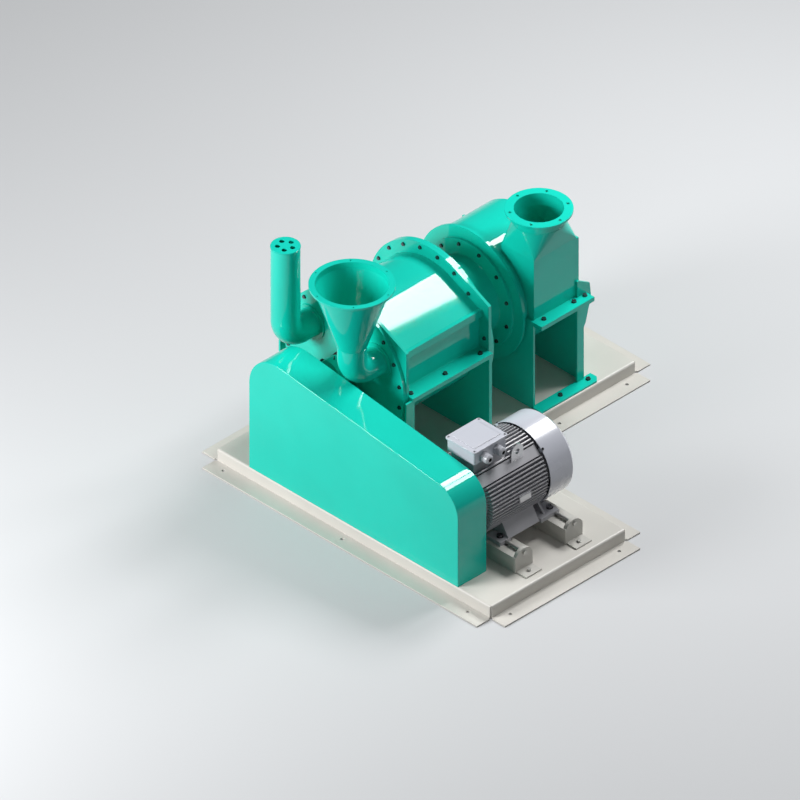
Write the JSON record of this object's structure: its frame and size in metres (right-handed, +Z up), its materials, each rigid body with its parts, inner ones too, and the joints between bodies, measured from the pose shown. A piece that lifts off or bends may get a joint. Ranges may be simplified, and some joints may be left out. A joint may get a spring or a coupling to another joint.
{
  "type": "micronizing mill",
  "caption": "Belt-driven beater mill with suction fan, feed funnel, air pipe, outlet duct, belt guard and finned motor on an L-shaped folded base.",
  "frame": {"origin": "on the floor under the middle of the base", "axes": "+Z up, +X along the belt guard from the mill to the motor, +Y along the mill shaft from the belt guard to the fan"},
  "size_m": [2.12, 2.196, 1.3],
  "materials": {
    "teal_paint": "gloss paint",
    "base_paint": "satin paint",
    "motor_iron": "light grey enamel on cast iron",
    "motor_sheet": "light grey enamel",
    "gland_plastic": "grey nylon",
    "fan_plastic": "moulded nylon",
    "rail_paint": "grey enamel",
    "turned_steel": "turned",
    "wear_steel": "hardened plate",
    "core_steel": "laminated",
    "cast_iron": "machined cast iron",
    "bearing_steel": "ground",
    "seal_rubber": "moulded",
    "belt_rubber": "cloth-faced rubber",
    "dark_bolts": "black oxide"
  },
  "bodies": {
    "frame": {"adjusting_bolts": "dark_bolts", "air_inlet_cap": "teal_paint", "air_inlet_pipe": "teal_paint", "base_frame": "base_paint", "bearing_bolts": "dark_bolts", "bearing_pedestal": "teal_paint", "belt_guard": "teal_paint", "cable_glands": "gland_plastic", "drive_end_bearing": "bearing_steel", "drive_end_shield": "motor_iron", "fan_cowl": "motor_sheet", "fan_end_bearing": "bearing_steel", "fan_end_shield": "motor_iron", "feed_funnel": "teal_paint", "front_bearing": "bearing_steel", "front_bearing_housing": "teal_paint", "front_casing": "teal_paint", "front_end_plate": "teal_paint", "front_flange_bolts": "dark_bolts", "front_shaft_seal": "seal_rubber", "front_shelf_bolts": "dark_bolts", "front_slide_rail": "rail_paint", "front_support": "teal_paint", "grinding_liner": "wear_steel", "guard_back_plate": "teal_paint", "guard_bolts": "dark_bolts", "lifting_eye": "turned_steel", "motor_foot_bolts": "dark_bolts", "motor_frame": "motor_iron", "rail_foot_bolts": "dark_bolts", "rear_bearing": "bearing_steel", "rear_bearing_housing": "teal_paint", "rear_casing": "teal_paint", "rear_cover": "teal_paint", "rear_cover_bolts": "dark_bolts", "rear_shaft_seal": "seal_rubber", "rear_shelf_bolts": "dark_bolts", "rear_slide_rail": "rail_paint", "rear_support": "teal_paint", "stator_core": "core_steel", "support_foot_bolts": "dark_bolts", "terminal_box": "motor_sheet", "terminal_box_lid": "motor_sheet", "throat_bolts": "dark_bolts", "throat_disc_bolts": "dark_bolts", "throat_duct": "teal_paint", "v_belts": "belt_rubber"},
    "mill_rotor": {"main_shaft": "turned_steel", "mill_pulley": "cast_iron", "rotor_discs": "turned_steel", "rotor_beaters": "wear_steel", "fan_impeller": "turned_steel"},
    "motor_rotor": {"motor_shaft": "turned_steel", "rotor_core": "core_steel", "motor_fan": "fan_plastic", "motor_pulley": "cast_iron"}
  },
  "joints": [
    {"name": "motor_spin", "type": "hinge", "parent": "frame", "child": "motor_rotor", "pos_m": [0.496, -0.885, 0.388], "axis": [0, 1, 0], "continuous": true},
    {"name": "mill_spin", "type": "hinge", "parent": "frame", "child": "mill_rotor", "pos_m": [-0.492, -0.885, 0.601], "axis": [0, 1, 0], "continuous": true}
  ],
  "couplings": [
    {"joint": "mill_spin", "follows": "motor_spin", "ratio": 2}
  ]
}
